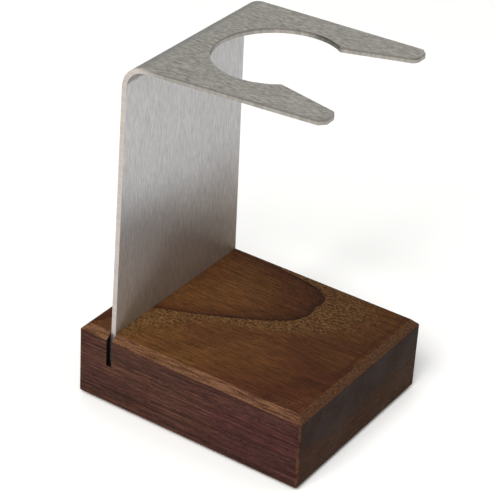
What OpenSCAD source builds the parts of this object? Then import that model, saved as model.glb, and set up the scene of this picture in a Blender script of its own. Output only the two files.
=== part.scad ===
// Razor and brush stand: a bent metal holder glued into a kerf in a wooden block.
// Origin: middle of the footprint, on the surface the stand rests on.
// +Z is up and the open mouth of the holder faces -Y.

/* [Base block] */
// Width of the block, side to side
base_w = 67.6; // [56:0.2:110]
// Depth of the block, front to back
base_d = 80; // [64:0.5:130]
// Height of the block
base_h = 24.8; // [18:0.2:45]
// Width of the chamfer round the block's top edges
top_chamfer = 2.2; // [0.8:0.1:4]
// Width of the small eased edge on the upright and bottom edges
edge_ease = 0.5; // [0.2:0.1:1]

/* [Kerf] */
// Distance from the block's back face to the middle of the kerf
kerf_from_back = 11.2; // [7:0.2:20]
// Depth of the kerf below the block's top
kerf_depth = 11.2; // [6:0.2:14]
// Clearance between the sheet and each wall of the kerf, filled with adhesive
glue_gap = 0.1; // [0.05:0.05:0.3]
// Adhesive under the sheet's lower edge
glue_floor = 0.4; // [0.2:0.1:1]
// How far the adhesive stays below the block's top
glue_drop = 0.6; // [0.3:0.1:2]

/* [Holder sheet] */
// Thickness of the metal sheet
sheet_t = 1.6; // [1:0.1:3]
// Distance from the block's side to the sheet's edge, at the block's top
sheet_inset = 2.05; // [1:0.05:7.5]
// Angle that each side edge of the sheet leans inwards, in degrees
side_taper = 1.6; // [0:0.1:2.4]
// Straight height of the upright, from the block's top to the bend
upright_h = 81.3; // [50:0.5:130]
// Inside radius of the bend
bend_r = 6.6; // [2:0.2:12]
// Angle that the fork rises towards its tips, in degrees
fork_rise = 2.5; // [0:0.5:8]

/* [Fork] */
// Flat length of the fork, from the end of the bend to the tips
fork_l = 57.4; // [53:0.2:75]
// Distance from the tips back to the centre of the round seat
seat_from_tip = 33; // [24:0.5:37]
// Diameter of the round seat
seat_d = 38; // [31:0.5:44]
// Width of the throat, where the seat opens into the mouth
throat_w = 30.4; // [18:0.2:37]
// Width of each arm across its tip, before its corners are cut and rounded
arm_w = 6.6; // [4.5:0.1:12]
// Cut across the outer corner of each tip
tip_cut = 1.8; // [0.5:0.1:2.5]
// Radius at the inner corner of each tip
tip_r = 2.4; // [0.5:0.1:3.5]

/* [Foot pads] */
// Diameter of each stick-on foot pad
pad_d = 8; // [5:0.5:12]
// Thickness of each foot pad
pad_t = 1; // [0.6:0.1:2.5]
// Distance from the block's sides to the middle of each pad
pad_inset = 9; // [7:0.5:16]

/* [Hidden] */
$fn = 96;
over = 5;

base_top = pad_t + base_h;
kerf_y = base_d / 2 - kerf_from_back;
kerf_w = sheet_t + 2 * glue_gap;
kerf_floor = base_top - kerf_depth;

bend_out_r = bend_r + sheet_t;
bend_sweep = 90 - fork_rise;
bend_steps = 24;
bend_y = kerf_y - sheet_t / 2 - bend_r;
bend_z = base_top + upright_h;

sheet_low = kerf_floor + glue_floor;
sheet_w = base_w - 2 * sheet_inset;
bend_w = sheet_w - 2 * upright_h * tan(side_taper);
foot_w = upright_width(sheet_low);
tip_half = bend_w / 2 - fork_l * tan(side_taper);

seat_y = fork_l - seat_from_tip;
throat_y = seat_y + sqrt(pow(seat_d / 2, 2) - pow(throat_w / 2, 2));
mouth_half = tip_half - arm_w;
mouth_flare = atan((mouth_half - throat_w / 2) / (fork_l - throat_y));

// The round at each tip's inner corner: its centre, and how many steps draw it
tip_round_x = mouth_half - tip_r * tan(mouth_flare) + tip_r / cos(mouth_flare);
tip_round_y = fork_l - tip_r;
tip_steps = 12;

// Side of the mouth, carried on past the throat into the seat
mouth_run = 2;
mouth_end = [throat_w / 2 - mouth_run * sin(mouth_flare), throat_y - mouth_run * cos(mouth_flare)];

// Right arm from its outer corner round the tip to the seat, and its mirror image
right_arm = concat(
    [[tip_half + tip_cut * tan(side_taper), fork_l - tip_cut], [tip_half - tip_cut, fork_l]],
    [for (i = [0:tip_steps]) let (a = 90 + (90 - mouth_flare) * i / tip_steps)
        [tip_round_x + tip_r * cos(a), tip_round_y + tip_r * sin(a)]],
    [mouth_end]
);
left_arm = [for (i = [len(right_arm) - 1:-1:0]) [-right_arm[i][0], right_arm[i][1]]];

module base_block() {
    color("saddlebrown")
    difference() {
        intersection() {
            block_profile(base_w, base_d);
            rotate([0, 0, 90]) block_profile(base_d, base_w);
            linear_extrude(base_top + over) eased_rectangle(base_w, base_d, edge_ease);
        }
        translate([0, kerf_y, kerf_floor + kerf_depth / 2 + over / 2])
            cube([base_w + 2 * over, kerf_w, kerf_depth + over], center = true);
    }
}

// Block seen end on, w wide, chamfered at the top and eased at the bottom, drawn out l long
module block_profile(w, l) {
    translate([0, l / 2, 0]) rotate([90, 0, 0]) linear_extrude(l) polygon([
        [-w / 2 + edge_ease, pad_t],
        [w / 2 - edge_ease, pad_t],
        [w / 2, pad_t + edge_ease],
        [w / 2, base_top - top_chamfer],
        [w / 2 - top_chamfer, base_top],
        [-w / 2 + top_chamfer, base_top],
        [-w / 2, base_top - top_chamfer],
        [-w / 2, pad_t + edge_ease]
    ]);
}

module eased_rectangle(w, l, cut) {
    polygon([
        [-w / 2 + cut, -l / 2],
        [w / 2 - cut, -l / 2],
        [w / 2, -l / 2 + cut],
        [w / 2, l / 2 - cut],
        [w / 2 - cut, l / 2],
        [-w / 2 + cut, l / 2],
        [-w / 2, l / 2 - cut],
        [-w / 2, -l / 2 + cut]
    ]);
}

// Width of the upright at height z
function upright_width(z) = sheet_w + 2 * (base_top - z) * tan(side_taper);

// Point on the bend, seen from the side, at radius r and angle a from straight back
function bend_point(r, a) = [bend_y + r * cos(a), bend_z + r * sin(a)];

function bend_arc(r, from, to) =
    [for (i = [0:bend_steps]) bend_point(r, from + (to - from) * i / bend_steps)];

module holder_plate() {
    color("lightgray")
    difference() {
        intersection() {
            sheet_side();
            sheet_front();
        }
        fork_waste();
    }
}

// The sheet seen from the side: upright, bend and fork in one outline, drawn out wider than the sheet
module sheet_side() {
    fork_run = fork_l * [-cos(fork_rise), sin(fork_rise)];
    rotate([90, 0, 90]) linear_extrude(base_w + over, center = true) polygon(concat(
        [[bend_y + bend_r, sheet_low], [bend_y + bend_out_r, sheet_low]],
        bend_arc(bend_out_r, 0, bend_sweep),
        [bend_point(bend_out_r, bend_sweep) + fork_run, bend_point(bend_r, bend_sweep) + fork_run],
        bend_arc(bend_r, bend_sweep, 0)
    ));
}

// The sheet seen from the front: tapered up to the bend, then straight
module sheet_front() {
    low = sheet_low - over;
    high = bend_z + bend_out_r + fork_l;
    rotate([90, 0, 0]) linear_extrude(2 * base_d, center = true) polygon([
        [-upright_width(low) / 2, low],
        [upright_width(low) / 2, low],
        [bend_w / 2, bend_z],
        [bend_w / 2, high],
        [-bend_w / 2, high],
        [-bend_w / 2, bend_z]
    ]);
}

// What is cut from the flat fork: everything outside its outline, with y = 0 at the bend's end
module fork_waste() {
    translate([0, bend_y, bend_z]) rotate([180 - fork_rise, 0, 0])
        translate([0, 0, -bend_out_r - over]) linear_extrude(sheet_t + 2 * over) difference() {
            translate([-base_w / 2, -over]) square([base_w, fork_l + 2 * over]);
            fork_outline();
        }
}

module fork_outline() {
    back_half = bend_w / 2 + over * tan(side_taper);
    difference() {
        polygon(concat(
            [[-back_half, -over], [back_half, -over]], right_arm, [[0, seat_y]], left_arm
        ));
        translate([0, seat_y]) circle(d = seat_d);
    }
}

// Cured adhesive on both walls and the floor of the kerf, as wide as the sheet's foot
module kerf_adhesive() {
    color("goldenrod")
    difference() {
        translate([-foot_w / 2, kerf_y - kerf_w / 2, kerf_floor])
            cube([foot_w, kerf_w, kerf_depth - glue_drop]);
        translate([-foot_w / 2 - over, kerf_y - sheet_t / 2, sheet_low])
            cube([foot_w + 2 * over, sheet_t, kerf_depth]);
    }
}

module foot_pads() {
    color("dimgray")
    for (x = [-1, 1], y = [-1, 1])
        translate([x * (base_w / 2 - pad_inset), y * (base_d / 2 - pad_inset), 0])
            cylinder(d = pad_d, h = pad_t);
}

base_block();
holder_plate();
kerf_adhesive();
foot_pads();
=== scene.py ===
import bpy
from math import atan, atan2, cos, radians, sin, sqrt, tan
from mathutils import Matrix, Vector


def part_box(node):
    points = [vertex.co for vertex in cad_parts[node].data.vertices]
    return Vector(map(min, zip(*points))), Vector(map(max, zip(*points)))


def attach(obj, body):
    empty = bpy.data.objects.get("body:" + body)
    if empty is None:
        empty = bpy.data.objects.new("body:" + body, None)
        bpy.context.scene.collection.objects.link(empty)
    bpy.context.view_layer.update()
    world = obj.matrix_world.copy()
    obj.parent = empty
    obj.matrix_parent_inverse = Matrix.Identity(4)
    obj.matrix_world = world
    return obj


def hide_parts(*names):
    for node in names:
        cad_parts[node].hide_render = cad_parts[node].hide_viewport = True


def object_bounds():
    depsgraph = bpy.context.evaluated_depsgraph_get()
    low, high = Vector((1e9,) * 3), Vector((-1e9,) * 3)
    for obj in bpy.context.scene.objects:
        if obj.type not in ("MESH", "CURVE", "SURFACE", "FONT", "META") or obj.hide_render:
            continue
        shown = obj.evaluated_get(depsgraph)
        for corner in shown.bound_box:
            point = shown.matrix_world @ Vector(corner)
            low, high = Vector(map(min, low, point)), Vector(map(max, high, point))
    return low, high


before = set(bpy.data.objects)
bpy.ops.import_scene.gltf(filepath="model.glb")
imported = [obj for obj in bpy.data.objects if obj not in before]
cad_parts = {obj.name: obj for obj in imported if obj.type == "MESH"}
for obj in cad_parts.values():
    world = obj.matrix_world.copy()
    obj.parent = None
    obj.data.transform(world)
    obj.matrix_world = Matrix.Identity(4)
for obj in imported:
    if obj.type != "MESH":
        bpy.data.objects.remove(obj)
cadLow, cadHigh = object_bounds()
print("frame loaded:", ", ".join(sorted(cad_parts)))

mm = 0.001
hair = 0.01 * mm  # closer than this counts as the same place


# selecting and shaping

def deselectAll():
    for thing in bpy.context.selected_objects:
        thing.select_set(False)


def takeUp(piece):  # the piece becomes the only selected one, ready for an operator
    deselectAll()
    piece.select_set(True)
    bpy.context.view_layer.objects.active = piece


def nameNew(name):
    piece = bpy.context.active_object
    piece.name = name
    piece.data.name = name
    return piece


def bakePlace(piece):
    takeUp(piece)
    bpy.ops.object.transform_apply(location=True, rotation=True, scale=True)


def addBox(name, low, high):
    deselectAll()
    low, high = Vector(low), Vector(high)
    bpy.ops.mesh.primitive_cube_add(size=1, calc_uvs=False, location=(low + high) / 2)
    piece = nameNew(name)
    piece.scale = high - low
    bakePlace(piece)
    return piece


def pickFaces(piece, test):  # in edit mode, faces whose middle and normal pass the test
    bpy.ops.mesh.select_all(action="DESELECT")
    bpy.ops.mesh.select_mode(type="FACE")
    bpy.ops.object.mode_set(mode="OBJECT")
    for face in piece.data.polygons:
        face.select = bool(test(face.center, face.normal))
    bpy.ops.object.mode_set(mode="EDIT")


def pickEdges(piece, test):  # in edit mode, edges whose two ends pass the test
    bpy.ops.mesh.select_all(action="DESELECT")
    bpy.ops.mesh.select_mode(type="EDGE")
    bpy.ops.object.mode_set(mode="OBJECT")
    points = piece.data.vertices
    for edge in piece.data.edges:
        edge.select = bool(test(*(points[i].co for i in edge.vertices)))
    bpy.ops.object.mode_set(mode="EDIT")


def cutAway(piece, cutter):
    takeUp(piece)
    cut = piece.modifiers.new("cut", "BOOLEAN")
    cut.operation = "DIFFERENCE"
    cut.solver = "MANIFOLD"
    cut.object = cutter
    bpy.ops.object.modifier_apply(modifier=cut.name)
    bpy.data.objects.remove(cutter)


def softenEdges(piece, width, segments, sharperThan):
    takeUp(piece)
    bevel = piece.modifiers.new("soften", "BEVEL")
    bevel.width = width
    bevel.segments = segments
    bevel.limit_method = "ANGLE"
    bevel.angle_limit = radians(sharperThan)
    bpy.ops.object.modifier_apply(modifier=bevel.name)


def shadeClean(piece, angle):
    takeUp(piece)
    bpy.ops.object.shade_smooth_by_angle(angle=radians(angle))
    weighted = piece.modifiers.new("weighted", "WEIGHTED_NORMAL")
    weighted.keep_sharp = True
    weighted.weight = 100
    bpy.ops.object.modifier_apply(modifier=weighted.name)


def paint(piece, *materials):
    piece.data.materials.clear()
    for material in materials:
        piece.data.materials.append(material)


def place(piece, slotName, *nodes):
    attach(piece, "root")
    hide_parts(*nodes)


# node helpers

def fill(tree, node, inputs):
    for name, value in inputs.items():
        if isinstance(value, bpy.types.NodeSocket):
            tree.links.new(value, node.inputs[name])
        else:
            node.inputs[name].default_value = value
    return node


def addNode(tree, kind, inputs=None, **settings):
    node = tree.nodes.new("ShaderNode" + kind)
    for name, value in settings.items():
        setattr(node, name, value)
    return fill(tree, node, inputs or {})


def calc(tree, operation, *values):
    return addNode(tree, "Math", dict(enumerate(values)), operation=operation).outputs[0]


def vectorCalc(tree, operation, *values):
    return addNode(tree, "VectorMath", dict(enumerate(values)), operation=operation).outputs["Vector"]


def opaque(color):  # a socket wants a fourth number
    return (*color, 1) if isinstance(color, tuple) else color


def blendColor(tree, factor, first, second, how="MIX"):
    inputs = {0: factor, 6: opaque(first), 7: opaque(second)}  # the sockets of a colour Mix
    return addNode(tree, "Mix", inputs, data_type="RGBA", blend_type=how).outputs[2]


def remap(tree, value, fromLow, fromHigh, toLow=0.0, toHigh=1.0, curve="LINEAR"):
    inputs = {"Value": value, "From Min": fromLow, "From Max": fromHigh, "To Min": toLow, "To Max": toHigh}
    return addNode(tree, "MapRange", inputs, interpolation_type=curve).outputs["Result"]


def spread(tree, value, toLow, toHigh):  # a noise's usual range, stretched to this one
    return remap(tree, value, 0.3, 0.7, toLow, toHigh)


def ramp(tree, value, stops):
    node = addNode(tree, "ValToRGB", {"Fac": value})
    points = node.color_ramp.elements
    while len(points) < len(stops):
        points.new(0.5)
    for point, (where, color) in zip(points, stops):
        point.position = where
        point.color = (*color, 1)
    return node.outputs["Color"]


def noise(tree, vector, size, detail=2.0, roughness=0.5):
    # size is how large the pattern is along X, Y and Z, in the vector's own unit
    stretched = vectorCalc(tree, "DIVIDE", vector, size)
    inputs = {"Vector": stretched, "Scale": 1.0, "Detail": detail, "Roughness": roughness}
    return addNode(tree, "TexNoise", inputs).outputs


def newGroup(name, inputs, outputs):
    tree = bpy.data.node_groups.new(name, "ShaderNodeTree")
    for socketName, value in inputs.items():
        kind = "Vector" if value is None else "Color" if hasattr(value, "__len__") else "Float"
        socket = tree.interface.new_socket(socketName, in_out="INPUT", socket_type="NodeSocket" + kind)
        if value is not None:
            socket.default_value = value
    for socketName, kind in outputs.items():
        tree.interface.new_socket(socketName, in_out="OUTPUT", socket_type="NodeSocket" + kind)
    return tree, tree.nodes.new("NodeGroupInput").outputs, tree.nodes.new("NodeGroupOutput")


def useGroup(tree, group, inputs):
    node = tree.nodes.new("ShaderNodeGroup")
    node.node_tree = group
    return fill(tree, node, inputs).outputs


def newMaterial(name):
    material = bpy.data.materials.new(name)
    material.use_nodes = True
    return material, material.node_tree, material.node_tree.nodes["Principled BSDF"]


def inMillimetres(tree):
    return vectorCalc(tree, "MULTIPLY", addNode(tree, "TexCoord").outputs["Object"], (1000, 1000, 1000))


def evenly(tree, value):  # the same number along X, Y and Z
    return addNode(tree, "CombineXYZ", {i: value for i in range(3)}).outputs[0]


def grey(tree, value):
    return addNode(tree, "CombineColor", {i: value for i in range(3)}).outputs[0]


def bump(tree, height, depth, strength=1.0):
    inputs = {"Height": height, "Distance": depth, "Strength": strength}
    return addNode(tree, "Bump", inputs).outputs["Normal"]


# shared effects

scratchLayers = {  # finer across, finer along, detail, share of the shade
    "broad": (0.16, 0.4, 2.0, 0.12),
    "medium": (0.45, 1.0, 2.0, 0.33),
    "fine": (1.0, 2.4, 1.0, 0.55),
}

handlingLimits = {"patches": (0.35, 0.65), "dust": (0.68, 0.78)}  # where in the noise each begins and is full


def makeBrushLines():  # fine scratches that run along the vector's Y, all lengths in mm
    tree, given, made = newGroup(
        "brushLines",
        {"Vector": None, "Width": 0.2, "Length": 14.0, "Spread": 0.14},
        {"Shade": "Float", "Height": "Float"},
    )
    parts = addNode(tree, "SeparateXYZ", {0: given["Vector"]}).outputs
    across = calc(tree, "DIVIDE", parts["X"], given["Width"])
    along = calc(tree, "DIVIDE", parts["Y"], given["Length"])

    total = 0.0
    layers = {}
    for name, (finerAcross, finerAlong, detail, share) in scratchLayers.items():
        x = calc(tree, "MULTIPLY", across, finerAcross)
        y = calc(tree, "MULTIPLY", along, finerAlong)
        spot = addNode(tree, "CombineXYZ", {"X": x, "Y": y, "Z": finerAlong}).outputs[0]
        layers[name] = noise(tree, spot, (1, 1, 1), detail)["Fac"]
        total = calc(tree, "MULTIPLY_ADD", layers[name], share, total)
    darkest = calc(tree, "SUBTRACT", 0.5, given["Spread"])
    brightest = calc(tree, "ADD", 0.5, given["Spread"])
    depth = calc(tree, "MULTIPLY", layers["medium"], 0.4)
    fill(tree, made, {
        "Shade": remap(tree, total, darkest, brightest),
        "Height": calc(tree, "MULTIPLY_ADD", layers["fine"], 0.6, depth),
    })
    return tree


def makeHandling():  # soft patches where a surface has been touched, and sparse dust
    tree, given, made = newGroup(
        "handling",
        {"Vector": None, "Patch Size": 14.0, "Dust Size": 0.4, "Dust Amount": 0.3},
        {"Patches": "Float", "Dust": "Float"},
    )
    patches = vectorCalc(tree, "DIVIDE", given["Vector"], evenly(tree, given["Patch Size"]))
    patches = noise(tree, patches, (1, 1, 1), 3.0, 0.55)["Fac"]
    specks = vectorCalc(tree, "DIVIDE", given["Vector"], evenly(tree, given["Dust Size"]))
    specks = noise(tree, specks, (1, 1, 1), 1.0)["Fac"]
    dust = remap(tree, specks, *handlingLimits["dust"])
    fill(tree, made, {
        "Patches": remap(tree, patches, *handlingLimits["patches"], curve="SMOOTHSTEP"),
        "Dust": calc(tree, "MULTIPLY", dust, given["Dust Amount"]),
    })
    return tree


def makeEdgeDistance():  # how far a point on a box-shaped piece is from the box's nearest edge, in mm
    tree, given, made = newGroup(
        "edgeDistance", {"Vector": None, "Middle": None, "Half Size": None}, {"Distance": "Float"})
    centred = vectorCalc(tree, "SUBTRACT", given["Vector"], given["Middle"])
    depth = vectorCalc(tree, "SUBTRACT", given["Half Size"], vectorCalc(tree, "ABSOLUTE", centred))
    x, y, z = addNode(tree, "SeparateXYZ", {0: depth}).outputs
    # the middle one of the three depths: the least belongs to the face itself
    least, most = calc(tree, "MINIMUM", x, y), calc(tree, "MAXIMUM", x, y)
    fill(tree, made, {"Distance": calc(tree, "MINIMUM", most, calc(tree, "MAXIMUM", least, z))})
    return tree


brushLines = makeBrushLines()
handling = makeHandling()
edgeDistance = makeEdgeDistance()


# the wooden block

blockShape = {
    "chamfer": 2.2 * mm,      # round the top
    "cornerRound": 0.7 * mm,  # upright corners and bottom edges
    "arrisRound": 0.3 * mm,   # the two edges of the chamfer
    "kerfLip": 0.12 * mm,     # worn off the kerf's sharp edges
}

blockLook = {
    "golden": (0.098, 0.046, 0.0142),      # the first growth of a year, open and pale
    "warm": (0.092, 0.038, 0.0112),
    "dull": (0.066, 0.0240, 0.0076),
    "latewood": (0.0120, 0.0042, 0.0022),  # the dark close of a year
    "closing": (0.036, 0.0115, 0.0048),    # the reddish wood just before it
    "red": (0.062, 0.0190, 0.0085),
    "flecks": (0.215, 0.112, 0.046),
    "rubbed": (0.15, 0.072, 0.036),
    "endGrain": (0.0150, 0.0092, 0.0082),
    "endWarm": (0.056, 0.0220, 0.0070),
    "endDark": (0.0100, 0.0046, 0.0026),
    "paintedKerfShade": (0.0040, 0.0024, 0.0016),  # painted shade down in the kerf
    "dust": (0.20, 0.16, 0.11),
    "paintedCoolReflection": (0.72, 0.70, 1.45),        # painted reflection of cool light: the sides' colour is the top's times this
    "tongueTip": (17.5, -12.3),         # where the dark ring turns on the top, in mm
    "tongueLean": -0.21,
    "tongueWidth": 132.0,
    "tonguePower": 2.77,
    "tongueSide": 22.0,                 # past this the ring runs straight on
    "sideSlope": 0.7,
    "wanderSize": (13, 60, 13),         # how far apart the rings' bends are, and how far they stray, in mm
    "wanderBy": 1.8,
    "rippleSize": (1.6, 9, 1.6),
    "rippleBy": 0.25,
    "ringDip": 0.04,                    # how far a ring sinks for each mm along the grain
    "ringStep": 3.1,
    "otherRings": (0.1, 0.6),           # how weakly and how strongly the other rings show
    "layerMix": 0.7,
    "driftSize": (16, 34, 5),
    "redFrom": 2.0,                     # from here to the front the wood grows redder
    "redReach": 28.0,
    "redMix": 0.6,
    "reddest": 0.85,
    "streakSize": (0.7, 24, 0.7),
    "streakTone": (0.62, 1.34),         # brightness of the darkest and the palest streaks
    "fibreSize": (0.24, 4.5, 0.24),
    "fibreTone": (0.45, 1.50),
    "poreSize": (0.17, 1.1, 0.17),
    "poreMix": 0.8,
    "fleckMix": 0.62,
    "paintedLightSkew": -0.9,                   # painted light falloff: the wood darkens towards the front and the right
    "paintedLightRange": (-35.0, 20.0, 0.66, 1.03),  # from, to, and the brightness at each
    "frontLine": -36.4,                 # a thin dark line runs along the top here
    "frontLineMix": 0.75,
    "heartTop": 12.5,                   # below this height the end grain is browner
    "sagCurve": 0.0016,                 # how the years sag across the ends
    "sagSlope": 0.03,
    "yearWaver": 1.1,
    "yearGap": 0.42,
    "raySize": (0.3, 3, 0.4),
    "rayMix": 0.42,
    "longLineSize": (3, 34, 1.0),       # on the sides
    "longLineTone": (1.24, 0.58),
    "dashSize": (0.4, 3.2, 0.17),
    "dashTone": (1.38, 0.62),
    "sideFoot": (3.0, 13.0, 0.82, 1.0),     # from, to, and the brightness at each
    "sideFront": (-8.0, -36.0, 1.0, 1.22),
    "shadeBehindSheetFrom": 28.0,                   # painted shade: behind the sheet the top is darker and redder
    "shadeBehindSheetMix": 0.6,
    "planedSize": (0.5, 8, 0.5),        # streaks on the chamfers
    "planedMix": 0.9,
    "gritSize": (0.16, 0.35, 0.16),
    "gritDark": 0.7,
    "gritPale": 0.35,
    "rubbedHighlightWidth": 0.9,
    "rubbedHighlightMix": 0.6,
    "dustMix": 0.4,
    "paintedKerfShadeEdge": (1.02, 0.96),       # from the kerf's middle to where the painted shade ends
    "roughness": 0.52,
    "gloss": 0.06,
    "grainDepth": 0.05 * mm,
}


def makeBlock():
    low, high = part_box("base_block")
    glueLow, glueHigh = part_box("kerf_adhesive")
    size = blockShape
    block = addBox("wooden_block", low, high)
    bpy.ops.object.mode_set(mode="EDIT")
    pickEdges(block, lambda a, b: min(a.z, b.z) > high.z - mm)
    bpy.ops.mesh.bevel(offset=size["chamfer"], segments=1, affect="EDGES")
    pickEdges(block, lambda a, b: (abs(a.z - b.z) > 5 * mm) or max(a.z, b.z) < low.z + mm)
    bpy.ops.mesh.bevel(offset=size["cornerRound"], segments=5, affect="EDGES")
    bpy.ops.object.mode_set(mode="OBJECT")
    softenEdges(block, size["arrisRound"], 3, 35)

    past = 5 * mm
    saw = addBox("saw", (low.x - past, glueLow.y, glueLow.z), (high.x + past, glueHigh.y, high.z + past))
    cutAway(block, saw)
    takeUp(block)
    bpy.ops.object.mode_set(mode="EDIT")

    def onLip(a, b):  # along the kerf's top and down its open ends
        onWall = any(max(abs(a.y - wall), abs(b.y - wall)) < hair for wall in (glueLow.y, glueHigh.y))
        onTop = min(a.z, b.z) > high.z - hair
        atEnd = abs(a.x) + abs(b.x) > 2 * (high.x - size["chamfer"]) - hair
        return onWall and (onTop or (atEnd and a.z + b.z > 2 * (glueLow.z + hair)))

    pickEdges(block, onLip)
    bpy.ops.mesh.bevel(offset=size["kerfLip"], segments=2, affect="EDGES")
    bpy.ops.object.mode_set(mode="OBJECT")
    shadeClean(block, 40)
    return block


def makeWoodFigure():
    look = blockLook
    tree, given, made = newGroup(
        "woodFigure",
        {"Vector": None, "Top": 25.8},
        {"Color": "Color", "Pores": "Float", "Height": "Float"},
    )
    spot = given["Vector"]
    x, y, z = addNode(tree, "SeparateXYZ", {0: spot}).outputs
    wander = noise(tree, spot, look["wanderSize"], 1.5)["Fac"]
    ripple = noise(tree, spot, look["rippleSize"], 2.0)["Fac"]

    # how far along the grain a point is from the tongue-shaped ring
    fromTip = calc(tree, "SUBTRACT", y, look["tongueTip"][1])
    middle = calc(tree, "MULTIPLY_ADD", fromTip, look["tongueLean"], look["tongueTip"][0])
    aside = calc(tree, "ABSOLUTE", calc(tree, "SUBTRACT", x, middle))
    near = calc(tree, "MINIMUM", aside, look["tongueSide"])
    curved = calc(tree, "DIVIDE", calc(tree, "POWER", near, look["tonguePower"]), look["tongueWidth"])
    beyond = calc(tree, "MAXIMUM", calc(tree, "SUBTRACT", aside, look["tongueSide"]), 0.0)
    behind = calc(tree, "SUBTRACT", fromTip, calc(tree, "MULTIPLY_ADD", beyond, look["sideSlope"], curved))
    behind = calc(tree, "ADD", behind, spread(tree, wander, -look["wanderBy"], look["wanderBy"]))
    behind = calc(tree, "ADD", behind, spread(tree, ripple, -look["rippleBy"], look["rippleBy"]))

    depth = calc(tree, "SUBTRACT", z, given["Top"])
    inward = calc(tree, "MULTIPLY_ADD", behind, look["ringDip"], depth)
    rings = calc(tree, "DIVIDE", inward, -look["ringStep"])
    uneven = noise(tree, addNode(tree, "CombineXYZ", {"X": rings}).outputs[0], (1.7, 1, 1), 1.0)["Fac"]
    year = calc(tree, "FLOORED_MODULO", rings, 1.0)
    firstRing = calc(tree, "LESS_THAN", calc(tree, "ABSOLUTE", rings), 0.5)

    growth = ramp(tree, year, [
        (0.0, look["golden"]), (0.13, look["golden"]), (0.24, look["warm"]), (0.62, look["warm"]),
        (0.90, look["dull"]), (0.972, look["closing"]), (0.988, look["latewood"]), (1.0, look["latewood"])])
    strength = calc(tree, "MAXIMUM", firstRing, remap(tree, uneven, 0.35, 0.65, *look["otherRings"]))
    color = blendColor(tree, strength, look["warm"], growth)
    layers = addNode(tree, "CombineXYZ", {"X": rings, "Y": 5.0}).outputs[0]
    layers = noise(tree, layers, (0.16, 1, 1), 2.0)["Fac"]
    color = blendColor(tree, remap(tree, layers, 0.50, 0.66, 0.0, look["layerMix"]), color, look["closing"])

    # broad drifts of redder wood, and streaks along the grain
    drift = noise(tree, spot, look["driftSize"], 3.0)["Fac"]
    toFront = remap(tree, y, look["redFrom"], look["redFrom"] - look["redReach"], 0.0, look["redMix"])
    toLeft = remap(tree, x, 6.0, -20.0, 0.1, 1.0)
    redder = calc(tree, "MULTIPLY_ADD", toFront, toLeft, remap(tree, drift, 0.42, 0.68, 0.0, look["redMix"]))
    color = blendColor(tree, calc(tree, "MINIMUM", redder, look["reddest"]), color, look["red"])
    streaks = noise(tree, spot, look["streakSize"], 4.0, 0.7)["Fac"]
    fibres = noise(tree, spot, look["fibreSize"], 3.0, 0.7)["Fac"]
    bright = calc(tree, "MULTIPLY", spread(tree, streaks, *look["streakTone"]),
                  spread(tree, fibres, *look["fibreTone"]))
    # painted light: darker towards the front and the right, where the light falls off
    paintedFalloff = remap(tree, calc(tree, "MULTIPLY_ADD", x, look["paintedLightSkew"], y), *look["paintedLightRange"])
    bright = calc(tree, "MULTIPLY", bright, paintedFalloff)
    color = blendColor(tree, 1.0, color, grey(tree, bright), "MULTIPLY")

    # a thin dark line runs along the front edge of the top
    waver = spread(tree, noise(tree, spot, (9, 9, 9), 2.0)["Fac"], -0.9, 0.9)
    away = calc(tree, "ABSOLUTE", calc(tree, "SUBTRACT", calc(tree, "ADD", y, waver), look["frontLine"]))
    line = remap(tree, away, 1.1, 0.2, 0.0, look["frontLineMix"])
    line = calc(tree, "MULTIPLY", line, remap(tree, depth, -0.6, -0.2))
    line = calc(tree, "MULTIPLY", line, remap(tree, x, -26.0, 0.0, 0.2, 1.0))
    color = blendColor(tree, line, color, look["closing"])

    # pores: crowded and pale-lipped in the first growth, scattered elsewhere
    crowd = calc(tree, "MULTIPLY", remap(tree, year, 0.12, 0.27, 1.0, 0.15), strength)
    dots = noise(tree, spot, look["poreSize"], 1.5)["Fac"]
    limit = remap(tree, crowd, 0.0, 1.0, 0.64, 0.53)
    pores = remap(tree, calc(tree, "SUBTRACT", dots, limit), 0.0, 0.07)
    flecks = remap(tree, calc(tree, "SUBTRACT", 0.48, dots), 0.0, 0.12)
    color = blendColor(tree, calc(tree, "MULTIPLY", pores, look["poreMix"]), color, look["latewood"])
    lips = calc(tree, "MULTIPLY", calc(tree, "MULTIPLY", flecks, crowd), look["fleckMix"])
    color = blendColor(tree, lips, color, look["flecks"])
    height = calc(tree, "SUBTRACT", spread(tree, fibres, 0.0, 0.25), pores)
    fill(tree, made, {"Color": color, "Pores": pores, "Height": height})
    return tree


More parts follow.
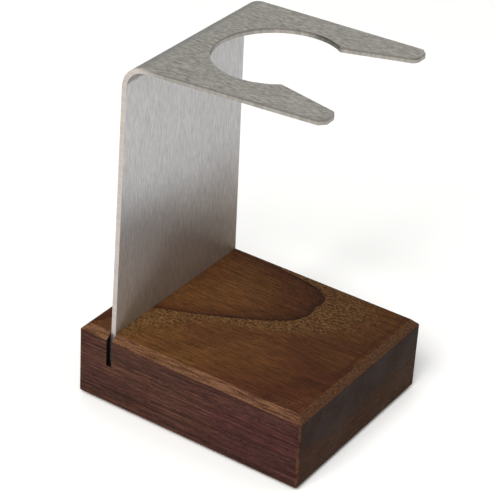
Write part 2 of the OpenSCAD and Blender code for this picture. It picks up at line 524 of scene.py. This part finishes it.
def makeWood(block):
    low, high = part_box("base_block")
    look = blockLook
    material, tree, shader = newMaterial("oiledHardwood")
    spot = inMillimetres(tree)
    figure = useGroup(tree, makeWoodFigure(), {"Vector": spot, "Top": high.z / mm})
    touched = useGroup(tree, handling, {
        "Vector": spot, "Patch Size": 11.0, "Dust Size": 0.5, "Dust Amount": 0.25})

    # end grain drinks more oil and looks darker; the ends are painted darker and greyer still as painted
    # shade and reflection, and the sides get a painted cool reflection
    facing = addNode(tree, "TexCoord").outputs["Normal"]
    parts = addNode(tree, "SeparateXYZ", {0: facing}).outputs
    ends = remap(tree, calc(tree, "ABSOLUTE", parts["Y"]), 0.55, 0.9)
    sides = remap(tree, calc(tree, "ABSOLUTE", parts["X"]), 0.55, 0.9)
    slopes = calc(tree, "MULTIPLY", remap(tree, parts["Z"], 0.3, 0.5), remap(tree, parts["Z"], 0.97, 0.85))
    across, back, height = addNode(tree, "SeparateXYZ", {0: spot}).outputs
    rays = noise(tree, spot, look["raySize"], 2.0)["Fac"]
    # on the ends the years are nearly flat lines that sag a little in the middle
    slope = calc(tree, "MULTIPLY_ADD", across, look["sagCurve"], look["sagSlope"])
    level = calc(tree, "SUBTRACT", height, calc(tree, "MULTIPLY", across, slope))
    waver = spread(tree, noise(tree, spot, (8, 8, 3), 2.0)["Fac"], -look["yearWaver"], look["yearWaver"])
    level = calc(tree, "ADD", level, waver)
    heart = remap(tree, level, look["heartTop"] + 2.0, look["heartTop"] - 3.0, curve="SMOOTHSTEP")
    years = addNode(tree, "CombineXYZ", {"X": level, "Y": 3.0}).outputs[0]
    years = noise(tree, years, (look["yearGap"], 1, 1), 2.0)["Fac"]
    dark = look["endDark"]
    endWarm = blendColor(tree, remap(tree, years, 0.40, 0.58), look["endWarm"], dark)
    endCool = blendColor(tree, remap(tree, years, 0.45, 0.65, 0.0, 0.5), look["endGrain"], dark)
    endColor = blendColor(tree, heart, endCool, endWarm)
    endColor = blendColor(tree, remap(tree, rays, 0.35, 0.65, 0.0, look["rayMix"]), endColor, figure["Color"])

    # the sides are cut across the years: long dark lines and short dashes
    longLines = noise(tree, spot, look["longLineSize"], 4.0, 0.65)["Fac"]
    dashes = noise(tree, spot, look["dashSize"], 2.5, 0.7)["Fac"]
    lined = remap(tree, longLines, 0.36, 0.62, *look["longLineTone"])
    lined = calc(tree, "MULTIPLY", lined, remap(tree, dashes, 0.36, 0.64, *look["dashTone"]))
    # darker towards the bottom of the sides and paler towards the front
    lined = calc(tree, "MULTIPLY", lined, remap(tree, height, *look["sideFoot"]))
    lined = calc(tree, "MULTIPLY", lined, remap(tree, back, *look["sideFront"]))
    sideGrainAndReflection = blendColor(tree, 1.0, figure["Color"], look["paintedCoolReflection"], "MULTIPLY")
    sideGrainAndReflection = blendColor(tree, 1.0, sideGrainAndReflection, grey(tree, lined), "MULTIPLY")
    color = blendColor(tree, sides, figure["Color"], sideGrainAndReflection)
    # the ends' colour: real oil-darkened end grain, plus painted shade and painted reflection
    color = blendColor(tree, ends, color, endColor)
    # painted shade of the sheet: the top behind it is darker and redder
    paintedShadeBehindSheet = remap(tree, back, look["shadeBehindSheetFrom"], look["shadeBehindSheetFrom"] + 4.0, 0.0, look["shadeBehindSheetMix"])
    paintedShadeBehindSheet = calc(tree, "MULTIPLY", paintedShadeBehindSheet, remap(tree, parts["Z"], 0.8, 0.9))
    color = blendColor(tree, paintedShadeBehindSheet, color, look["red"])

    # the chamfers are planed: pale streaks, and dark and pale grit
    planed = noise(tree, spot, look["planedSize"], 3.0, 0.6)["Fac"]
    planed = calc(tree, "MULTIPLY", slopes, remap(tree, planed, 0.40, 0.60, 0.0, look["planedMix"]))
    endwise = calc(tree, "ABSOLUTE", parts["Y"])
    planed = calc(tree, "MULTIPLY", planed, remap(tree, endwise, 0.2, 0.6, 1.0, 0.45))
    color = blendColor(tree, planed, color, look["rubbed"])
    grit = noise(tree, spot, look["gritSize"], 1.0)["Fac"]
    darkGrit = calc(tree, "MULTIPLY", slopes, remap(tree, grit, 0.54, 0.66, 0.0, look["gritDark"]))
    paleGrit = calc(tree, "MULTIPLY", slopes, remap(tree, grit, 0.42, 0.34, 0.0, look["gritPale"]))
    color = blendColor(tree, darkGrit, color, look["latewood"])
    color = blendColor(tree, paleGrit, color, look["flecks"])

    # paler along the edges, unevenly: rubbed wear and a painted highlight
    reach = useGroup(tree, edgeDistance, {
        "Vector": spot, "Middle": (low + high) / 2 / mm, "Half Size": (high - low) / 2 / mm})["Distance"]
    rubbed = calc(tree, "MULTIPLY", remap(tree, reach, look["rubbedHighlightWidth"], 0.0, 0.0, look["rubbedHighlightMix"]),
                  remap(tree, noise(tree, spot, (3, 5, 3), 3.0)["Fac"], 0.4, 0.62))
    color = blendColor(tree, rubbed, color, look["rubbed"])
    color = blendColor(tree, calc(tree, "MULTIPLY", touched["Dust"], look["dustMix"]), color, look["dust"])

    # painted shade: the kerf's walls are made near black
    glueLow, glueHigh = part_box("kerf_adhesive")
    fromKerf = calc(tree, "ABSOLUTE", calc(tree, "SUBTRACT", back, (glueLow.y + glueHigh.y) / 2 / mm))
    top, floor = high.z / mm, glueLow.z / mm
    inKerf = remap(tree, fromKerf, *look["paintedKerfShadeEdge"])
    inKerf = calc(tree, "MULTIPLY", inKerf, remap(tree, height, top, top - 0.7))
    inKerf = calc(tree, "MULTIPLY", inKerf, remap(tree, height, floor - 0.1, floor - 0.05))
    color = blendColor(tree, inKerf, color, look["paintedKerfShade"])

    rough = calc(tree, "MULTIPLY_ADD", figure["Pores"], 0.15, look["roughness"])
    rough = calc(tree, "ADD", rough, remap(tree, touched["Patches"], 0.0, 1.0, -0.05, 0.07))
    rough = calc(tree, "MULTIPLY_ADD", ends, 0.12, rough)
    fill(tree, shader, {
        "Base Color": color, "Roughness": rough, "Specular IOR Level": look["gloss"],
        "Normal": bump(tree, figure["Height"], look["grainDepth"], 0.7),
    })
    paint(block, material)


block = makeBlock()
makeWood(block)
place(block, "hardwood", "base_block")
print("block made")


# the bent holder

holderShape = {
    "thickness": 1.6 * mm,
    "insideRadius": 6.6 * mm,
    "forkRise": 2.5,         # degrees
    "sideTaper": 1.6,        # degrees, each side
    "forkLength": 57.4 * mm,
    "seatFromTip": 33 * mm,
    "seatWidth": 38 * mm,
    "throatWidth": 30.4 * mm,
    "armWidth": 6.6 * mm,
    "tipCut": 1.8 * mm,
    "tipRound": 2.4 * mm,
    "edgeRound": 0.14 * mm,  # what is left after deburring
    "bendSteps": 32,
    "punchDepth": 12 * mm,   # of the tools that cut the fork
}

holderLook = {
    "bright": (0.615, 0.611, 0.622),
    "dim": (0.375, 0.372, 0.381),
    "foot": (1.06, 0.88, 0.68),  # painted reflection of the wood: its front is tinted a little warmer towards the wood
    "footRange": (66.0, 28.0, 0.0, 0.75),  # heights from and to, in mm, and how much at each
    "metallic": 0.76,  # the rest stands for the haze of the scratches
    "forkDim": (0.195, 0.188, 0.165),
    "forkBright": (0.610, 0.588, 0.540),
    "edgeBright": (0.52, 0.465, 0.435),
    "edgeDim": (0.44, 0.400, 0.375),
    "edgeFork": (0.25, 0.240, 0.218),
    "paintedArrisShade": (0.11, 0.105, 0.095),
    "smudge": (0.40, 0.39, 0.37),
    "dust": (0.30, 0.29, 0.28),
    "roughness": 0.34,
    "anisotropic": 1.0,
    "brushing": {"Width": 0.13, "Length": 6.0},  # in mm
    "chatter": {"Width": 0.14, "Length": 3.6, "Spread": 0.10},  # the coarser brushing of the fork, its contrast raised as painted light
    "forkSheenMix": 0.9,
    "edgeBrushing": {"Width": 0.12, "Length": 1.2},
    "forkEdgeStreaks": {"Width": 0.5, "Length": 3.0},
    "smudgeMix": 0.12,
    "paintedArrisShadeBand": (0.75, 0.45),  # how far below the fork's top its painted dark line begins and is full, in mm
    "bend": (4.0, 12.0),  # where the fork's look begins and is full, in mm from the bend's lower end
    "edgeBend": (8.0, 16.0),
    "scratchDepth": 0.012 * mm,
    "edgeDepth": 0.02 * mm,
}


def holderPlaces():
    # the few places that the holder's shape hangs on, from the frame and its own sizes
    low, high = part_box("holder_plate")
    size = holderShape
    rise = radians(size["forkRise"])
    outer = size["insideRadius"] + size["thickness"]
    bendZ = high.z - outer * cos(rise) - size["forkLength"] * sin(rise)
    bendY = high.y - outer
    footHalf = high.x
    bendHalf = footHalf - (bendZ - low.z) * tan(radians(size["sideTaper"]))
    tipHalf = bendHalf - size["forkLength"] * tan(radians(size["sideTaper"]))
    along = Vector((0, -cos(rise), sin(rise)))
    up = Vector((0, sin(rise), cos(rise)))
    start = Vector((0, bendY, bendZ)) + up * outer
    return {"low": low.z, "backY": high.y, "bendY": bendY, "bendZ": bendZ, "footHalf": footHalf,
            "bendHalf": bendHalf, "tipHalf": tipHalf, "along": along, "up": up, "start": start,
            "outer": outer, "rise": rise}


def makeHolder():
    size = holderShape
    at = holderPlaces()
    deselectAll()
    bpy.ops.mesh.primitive_plane_add(size=1, calc_uvs=False, rotation=(radians(90), 0, 0),
                                     location=(0, at["backY"], (at["low"] + at["bendZ"]) / 2))
    holder = nameNew("bent_holder")
    holder.scale = (2 * at["bendHalf"], at["bendZ"] - at["low"], 1)
    bakePlace(holder)

    bpy.ops.object.mode_set(mode="EDIT")
    pickEdges(holder, lambda a, b: max(a.z, b.z) < at["low"] + mm)
    bpy.ops.transform.resize(value=(at["footHalf"] / at["bendHalf"], 1, 1))
    pickEdges(holder, lambda a, b: min(a.z, b.z) > at["bendZ"] - mm)
    bpy.ops.mesh.spin(steps=size["bendSteps"], angle=at["rise"] - radians(90), axis=(1, 0, 0),
                      center=(0, at["bendY"], at["bendZ"]))
    bpy.ops.mesh.extrude_region_move(TRANSFORM_OT_translate={"value": at["along"] * size["forkLength"]})
    bpy.ops.transform.resize(value=(at["tipHalf"] / at["bendHalf"], 1, 1))
    bpy.ops.mesh.select_all(action="SELECT")
    bpy.ops.mesh.remove_doubles(threshold=1e-6)
    bpy.ops.mesh.normals_make_consistent(inside=False)
    bpy.ops.object.mode_set(mode="OBJECT")
    # the sheet's thickness goes to the inside of the bend
    outward = holder.data.polygons[0].normal.y > 0
    thick = holder.modifiers.new("thickness", "SOLIDIFY")
    thick.thickness = size["thickness"]
    thick.offset = -1 if outward else 1
    thick.use_even_offset = True
    takeUp(holder)
    bpy.ops.object.modifier_apply(modifier=thick.name)
    bpy.ops.object.mode_set(mode="EDIT")
    bpy.ops.mesh.select_all(action="SELECT")
    bpy.ops.mesh.normals_make_consistent(inside=False)
    bpy.ops.object.mode_set(mode="OBJECT")

    cutFork(holder, at)
    softenEdges(holder, size["edgeRound"], 2, 40)
    takeUp(holder)
    bpy.ops.object.mode_set(mode="EDIT")
    bpy.ops.mesh.select_all(action="SELECT")
    bpy.ops.mesh.remove_doubles(threshold=1e-6)
    bpy.ops.object.mode_set(mode="OBJECT")
    shadeClean(holder, 30)
    return holder


def cutFork(holder, at):
    size = holderShape
    seat = at["start"] + at["along"] * (size["forkLength"] - size["seatFromTip"])
    deselectAll()
    bpy.ops.mesh.primitive_cylinder_add(vertices=160, radius=size["seatWidth"] / 2, depth=size["punchDepth"],
                                        calc_uvs=False, location=seat, rotation=(-at["rise"], 0, 0))
    punch = nameNew("punch")
    bakePlace(punch)
    cutAway(holder, punch)

    # the mouth: a wedge from just inside the seat to past the tips
    seatRadius = size["seatWidth"] / 2
    throatIn = sqrt(seatRadius ** 2 - (size["throatWidth"] / 2) ** 2)
    throatRun = size["seatFromTip"] - throatIn
    mouthHalf = at["tipHalf"] - size["armWidth"]
    flare = (mouthHalf - size["throatWidth"] / 2) / throatRun
    past = 3 * mm
    inside = 2 * mm
    nearHalf = size["throatWidth"] / 2 - inside * flare
    farHalf = mouthHalf + past * flare
    long = throatRun + past + inside
    middle = at["start"] + at["along"] * (size["forkLength"] + past - long / 2)
    deselectAll()
    bpy.ops.mesh.primitive_cube_add(size=1, calc_uvs=False, location=middle, rotation=(-at["rise"], 0, 0))
    wedge = nameNew("wedge")
    wedge.scale = (2 * nearHalf, long, size["punchDepth"])
    bakePlace(wedge)
    bpy.ops.object.mode_set(mode="EDIT")
    pickFaces(wedge, lambda centre, normal: normal.dot(at["along"]) > 0.9)
    bpy.ops.transform.resize(value=(farHalf / nearHalf, 1, 1))
    bpy.ops.object.mode_set(mode="OBJECT")
    cutAway(holder, wedge)

    # round the tips' inner corners and cut their outer ones
    tip = at["start"] + at["along"] * size["forkLength"]

    def atTip(a, b, half):  # an edge through the sheet, at a tip and this far from the middle
        onTip = all(abs((p - tip).dot(at["along"])) < 5 * hair for p in (a, b))
        inPlace = all(abs(abs(p.x) - half) < 5 * hair for p in (a, b))
        return onTip and inPlace and abs((a - b).dot(at["up"])) > mm

    takeUp(holder)
    bpy.ops.object.mode_set(mode="EDIT")
    turn = radians(90) - atan(flare)
    pickEdges(holder, lambda a, b: atTip(a, b, mouthHalf))
    bpy.ops.mesh.bevel(offset=size["tipRound"] * tan(turn / 2), segments=12, affect="EDGES")
    pickEdges(holder, lambda a, b: atTip(a, b, at["tipHalf"]))
    bpy.ops.mesh.bevel(offset=size["tipCut"], segments=1, affect="EDGES")
    bpy.ops.object.mode_set(mode="OBJECT")


def layFlat(holder):
    # a UV map that follows the sheet as it was before bending: U across, V along, in metres
    at = holderPlaces()
    rule = holder.data.uv_layers.new(name="flatSheet")
    sweep = radians(90) - at["rise"]
    middleRadius = at["outer"] - holderShape["thickness"] / 2
    for loop in holder.data.loops:
        point = holder.data.vertices[loop.vertex_index].co
        turn = atan2(point.z - at["bendZ"], point.y - at["bendY"])
        if turn <= 0:
            v = point.z - at["bendZ"]
        elif turn >= sweep:
            v = sweep * middleRadius + (point - at["start"]).dot(at["along"])
        else:
            v = turn * middleRadius
        rule.data[loop.index].uv = (point.x, v)


def flatMillimetres(tree):
    flat = addNode(tree, "UVMap", uv_map="flatSheet").outputs["UV"]
    return vectorCalc(tree, "MULTIPLY", flat, (1000, 1000, 0))


def makeSteel(holder):
    look = holderLook
    at = holderPlaces()
    face, tree, shader = newMaterial("brushedSheet")
    spot = flatMillimetres(tree)
    lines = useGroup(tree, brushLines, {"Vector": spot, **look["brushing"]})
    chatter = useGroup(tree, brushLines, {"Vector": spot, **look["chatter"]})
    onFork = remap(tree, addNode(tree, "SeparateXYZ", {0: spot}).outputs["Y"], *look["bend"])
    touched = useGroup(tree, handling, {"Vector": inMillimetres(tree), "Patch Size": 22.0, "Dust Size": 0.35,
                                        "Dust Amount": 0.15})
    color = blendColor(tree, lines["Shade"], look["dim"], look["bright"])
    # painted light: the fork's brush lines get stronger contrast, as grazing light shows them
    forkBrushingAndSheen = blendColor(tree, chatter["Shade"], look["forkDim"], look["forkBright"])
    color = blendColor(tree, calc(tree, "MULTIPLY", onFork, look["forkSheenMix"]), color, forkBrushingAndSheen)
    height = addNode(tree, "SeparateXYZ", {0: inMillimetres(tree)}).outputs["Z"]
    # painted reflection of the wood: a warm tint low on the sheet's front face
    low = remap(tree, height, *look["footRange"])
    facing = addNode(tree, "SeparateXYZ", {0: addNode(tree, "TexCoord").outputs["Normal"]}).outputs["Y"]
    low = calc(tree, "MULTIPLY", low, remap(tree, facing, -0.2, -0.8))  # on the side towards the block's top
    color = blendColor(tree, low, color, look["foot"], "MULTIPLY")
    smudged = calc(tree, "MULTIPLY", touched["Patches"], look["smudgeMix"])
    color = blendColor(tree, smudged, color, look["smudge"])
    color = blendColor(tree, touched["Dust"], color, look["dust"])
    rough = calc(tree, "ADD", remap(tree, lines["Shade"], 0.0, 1.0, 0.04, -0.03),
                 remap(tree, touched["Patches"], 0.0, 1.0, look["roughness"], look["roughness"] + 0.05))
    fill(tree, shader, {
        "Base Color": color, "Metallic": look["metallic"], "Roughness": rough,
        "Anisotropic": look["anisotropic"],
        "Tangent": addNode(tree, "Tangent", direction_type="UV_MAP", uv_map="flatSheet").outputs[0],
        "Normal": bump(tree, lines["Height"], look["scratchDepth"], 0.5),
    })

    edge, tree, shader = newMaterial("cutEdge")
    spot = inMillimetres(tree)
    turned = addNode(tree, "Mapping", {"Vector": spot, "Rotation": (radians(90), 0, 0)}).outputs[0]
    lines = useGroup(tree, brushLines, {"Vector": turned, **look["edgeBrushing"]})
    color = blendColor(tree, lines["Shade"], look["edgeDim"], look["edgeBright"])
    flat = flatMillimetres(tree)
    onFork = remap(tree, addNode(tree, "SeparateXYZ", {0: flat}).outputs["Y"], *look["edgeBend"])
    # the fork's cut edges are darker, in streaks
    worn = useGroup(tree, brushLines, {"Vector": flat, **look["forkEdgeStreaks"]})
    worn = calc(tree, "MULTIPLY", onFork, remap(tree, worn["Shade"], 0.0, 1.0, 0.5, 1.0))
    color = blendColor(tree, worn, color, look["edgeFork"])
    # painted shade: a darker line along the cut edge just below the fork's top
    _, backward, height = addNode(tree, "SeparateXYZ", {0: spot}).outputs
    level = calc(tree, "MULTIPLY_ADD", backward, at["up"].y, calc(tree, "MULTIPLY", height, at["up"].z))
    top = at["start"].dot(at["up"]) / mm
    lower, upper = look["paintedArrisShadeBand"]
    paintedArrisShade = remap(tree, level, top - lower, top - upper, 0.0, 0.65)
    color = blendColor(tree, calc(tree, "MULTIPLY", paintedArrisShade, onFork), color, look["paintedArrisShade"])
    fill(tree, shader, {
        "Base Color": color, "Metallic": 1.0, "Roughness": remap(tree, lines["Shade"], 0.0, 1.0, 0.42, 0.30),
        "Normal": bump(tree, lines["Height"], look["edgeDepth"], 0.5),
    })

    paint(holder, face, edge)
    for polygon in holder.data.polygons:
        # the sheet's own normal at this point of the bend
        turn = atan2(polygon.center.z - at["bendZ"], polygon.center.y - at["bendY"])
        turn = min(max(turn, 0), radians(90) - at["rise"])
        sheetNormal = Vector((0, cos(turn), sin(turn)))
        polygon.material_index = 1 if abs(polygon.normal.dot(sheetNormal)) < 0.5 else 0


holder = makeHolder()
layFlat(holder)
makeSteel(holder)
place(holder, "brushed_sheet", "holder_plate")
print("holder made")


# the adhesive in the kerf

# painted shade: the amber resin is made near black, as it looks down in the kerf
glueLook = {"shadedResin": (0.022, 0.012, 0.005), "shadedSkin": (0.040, 0.024, 0.010), "roughness": 0.34}


def makeGlue(node):
    look = glueLook
    material, tree, shader = newMaterial("curedResin")
    spot = inMillimetres(tree)
    clouds = noise(tree, spot, (1.4, 1.0, 0.9), 4.0)["Fac"]
    bubbles = addNode(tree, "TexVoronoi", {"Vector": spot, "Scale": 2.2}).outputs["Distance"]
    color = blendColor(tree, remap(tree, clouds, 0.35, 0.65), look["shadedResin"], look["shadedSkin"])
    rough = spread(tree, clouds, look["roughness"], look["roughness"] + 0.25)
    fill(tree, shader, {
        "Base Color": color, "Roughness": rough,
        "Normal": bump(tree, remap(tree, bubbles, 0.0, 0.3, 0.0, 1.0), 0.05 * mm, 0.6),
    })
    paint(node, material)


makeGlue(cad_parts["kerf_adhesive"])
print("adhesive made")


# the foot pads

padShape = {
    "width": 8 * mm,
    "rim": 0.28 * mm,
    "ring": 1.1 * mm,     # width of the raised rim underneath
    "hollow": 0.12 * mm,  # how far the middle stands back from the floor
}

padLook = {
    "rubber": (0.030, 0.030, 0.031),
    "worn": (0.075, 0.074, 0.072),  # where it meets the floor
    "dust": (0.16, 0.155, 0.15),
    "roughness": 0.72,
}


def makePads():
    low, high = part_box("foot_pads")
    size = padShape
    radius = size["width"] / 2
    corner = Vector((high.x - radius, high.y - radius, (low.z + high.z) / 2))
    deselectAll()
    bpy.ops.mesh.primitive_cylinder_add(vertices=64, radius=radius, depth=high.z - low.z, calc_uvs=False,
                                        location=(-corner.x, -corner.y, corner.z))
    first = nameNew("foot_pad_front_left")
    bakePlace(first)
    bpy.ops.object.mode_set(mode="EDIT")
    pickFaces(first, lambda centre, normal: normal.z < -0.9)
    bpy.ops.mesh.inset(thickness=size["ring"], depth=0)
    bpy.ops.mesh.inset(thickness=size["hollow"] * 2, depth=-size["hollow"])
    bpy.ops.mesh.inset(thickness=size["ring"], depth=0)
    bpy.ops.object.mode_set(mode="OBJECT")
    softenEdges(first, size["rim"], 4, 60)
    softenEdges(first, size["hollow"] * 0.4, 2, 20)
    shadeClean(first, 35)
    pads = [first]
    for name, right, back in (("front_right", 1, 0), ("back_left", 0, 1), ("back_right", 1, 1)):
        takeUp(first)
        bpy.ops.object.duplicate(linked=False)
        copy = nameNew("foot_pad_" + name)
        bpy.ops.transform.translate(value=(2 * corner.x * right, 2 * corner.y * back, 0))
        bakePlace(copy)
        pads.append(copy)
    return pads


def makeRubber(pads):
    look = padLook
    material, tree, shader = newMaterial("padRubber")
    spot = inMillimetres(tree)
    grain = noise(tree, spot, (0.14, 0.14, 0.14), 2.0)["Fac"]
    touched = useGroup(tree, handling, {
        "Vector": spot, "Patch Size": 2.5, "Dust Size": 0.25, "Dust Amount": 0.8})
    _, _, height = addNode(tree, "SeparateXYZ", {0: spot}).outputs
    worn = calc(tree, "MULTIPLY", remap(tree, height, 0.25, 0.0), touched["Patches"])
    color = blendColor(tree, worn, look["rubber"], look["worn"])
    color = blendColor(tree, touched["Dust"], color, look["dust"])
    rough = spread(tree, grain, look["roughness"] - 0.08, look["roughness"] + 0.1)
    fill(tree, shader, {
        "Base Color": color, "Roughness": rough, "Specular IOR Level": 0.35,
        "Normal": bump(tree, grain, 0.03 * mm, 0.5),
    })
    for pad in pads:
        paint(pad, material)


pads = makePads()
makeRubber(pads)
for pad in pads:
    place(pad, "pad_rubber", "foot_pads")
print("pads made")


# floor, light and camera

studio = {
    "floorSize": 8.0,
    "floorColor": (0.86, 0.86, 0.86),
    "cardLow": (0.036, -0.025),  # painted shadow: the card darkens what the sheet mirrors from the floor on the right
    "cardHigh": (0.36, 0.20),
    "shadowCardColor": (0.29, 0.272, 0.265),
    "cardTurn": radians(5),
    "world": [  # how bright the room is from below to overhead
        (0.0, (0.30, 0.30, 0.30)), (0.5, (0.11, 0.11, 0.11)), (0.60, (0.20, 0.195, 0.185)),
        (0.74, (0.50, 0.49, 0.455)), (0.85, (0.62, 0.62, 0.60)), (1.0, (0.85, 0.85, 0.85))],
    "seenWorld": (0.36, 0.36, 0.355),
    "lamps": {  # name: (place, aim, width, height, watts, colour)
        "key": ((-1.05, -0.14, 1.15), (0, 0, 0.05), 0.9, 0.9, 26.0, (1.0, 0.99, 0.97)),
        "fill": ((0.9, -1.1, 1.3), (0, 0, 0.05), 1.4, 1.4, 6.0, (0.97, 0.985, 1.0)),
    },
}

view = {"azimuth": -57.61, "elevation": 31.32, "roll": 3.61, "distance": 0.5993, "lens": 146.5,
        "aim": (-0.0020, 0.0022, -0.0067)}  # from the middle of the frame's box


def makeFloor():
    deselectAll()
    bpy.ops.mesh.primitive_plane_add(size=studio["floorSize"])
    floor = nameNew("studio_floor")
    material, tree, shader = newMaterial("paleFloor")
    spot = addNode(tree, "TexCoord").outputs["Object"]
    mottle = noise(tree, spot, (0.35, 0.35, 0.35), 2.0)["Fac"]
    low = tuple(c - 0.01 for c in studio["floorColor"])
    high = tuple(c + 0.01 for c in studio["floorColor"])
    color = blendColor(tree, mottle, low, high)
    fill(tree, shader, {"Base Color": color, "Roughness": 0.75, "Specular IOR Level": 0.2})
    paint(floor, material)


def makeShadowCard():  # a grey card that lies on the floor and shows only in reflections: a painted shadow of the object on the floor
    left, front = studio["cardLow"]
    right, back = studio["cardHigh"]
    deselectAll()
    bpy.ops.mesh.primitive_plane_add(size=1, location=((left + right) / 2, (front + back) / 2, 0.5 * mm))
    card = nameNew("shadow_card")
    card.scale = (right - left, back - front, 1)
    card.rotation_euler = (0, 0, studio["cardTurn"])
    bakePlace(card)
    material, tree, shader = newMaterial("paintedShadowCard")
    weave = noise(tree, inMillimetres(tree), (3, 3, 3), 2.0)["Fac"]
    low = tuple(c - 0.02 for c in studio["shadowCardColor"])
    color = blendColor(tree, weave, low, studio["shadowCardColor"])
    fill(tree, shader, {"Base Color": color, "Roughness": 0.9})
    paint(card, material)
    card.visible_camera = card.visible_diffuse = card.visible_shadow = False


def makeLamp(name, spot, aim, width, height, watts, color):
    data = bpy.data.lights.new(name, "AREA")
    data.shape = "RECTANGLE"
    data.size, data.size_y = width, height
    data.energy = watts
    data.color = color
    lamp = bpy.data.objects.new(name, data)
    bpy.context.scene.collection.objects.link(lamp)
    lamp.location = spot
    lamp.rotation_euler = (Vector(aim) - Vector(spot)).to_track_quat("-Z", "Y").to_euler()


def makeWorld():
    world = bpy.data.worlds.new("studio")
    bpy.context.scene.world = world
    world.use_nodes = True
    tree = world.node_tree
    seen = addNode(tree, "LightPath").outputs["Is Camera Ray"]
    height = addNode(tree, "SeparateXYZ", {0: addNode(tree, "TexCoord").outputs["Generated"]}).outputs["Z"]
    room = ramp(tree, remap(tree, height, -1.0, 1.0), studio["world"])
    color = blendColor(tree, seen, room, studio["seenWorld"])
    fill(tree, tree.nodes["Background"], {"Color": color, "Strength": 1.0})


def makeCamera():
    turned = (Matrix.Rotation(radians(view["azimuth"]), 4, "Z")
              @ Matrix.Rotation(radians(90 - view["elevation"]), 4, "X")
              @ Matrix.Rotation(radians(view["roll"]), 4, "Z"))
    data = bpy.data.cameras.new("camera")
    data.lens = view["lens"]
    data.sensor_width = 36
    camera = bpy.data.objects.new("camera", data)
    bpy.context.scene.collection.objects.link(camera)
    aim = (cadLow + cadHigh) / 2 + Vector(view["aim"])
    back = turned.to_3x3() @ Vector((0, 0, 1))
    camera.matrix_world = Matrix.Translation(aim + back * view["distance"]) @ turned
    bpy.context.scene.camera = camera


makeFloor()
makeShadowCard()
for name, settings in studio["lamps"].items():
    makeLamp(name, *settings)
makeWorld()
makeCamera()
bpy.context.scene.view_settings.view_transform = "Standard"
print("studio ready")
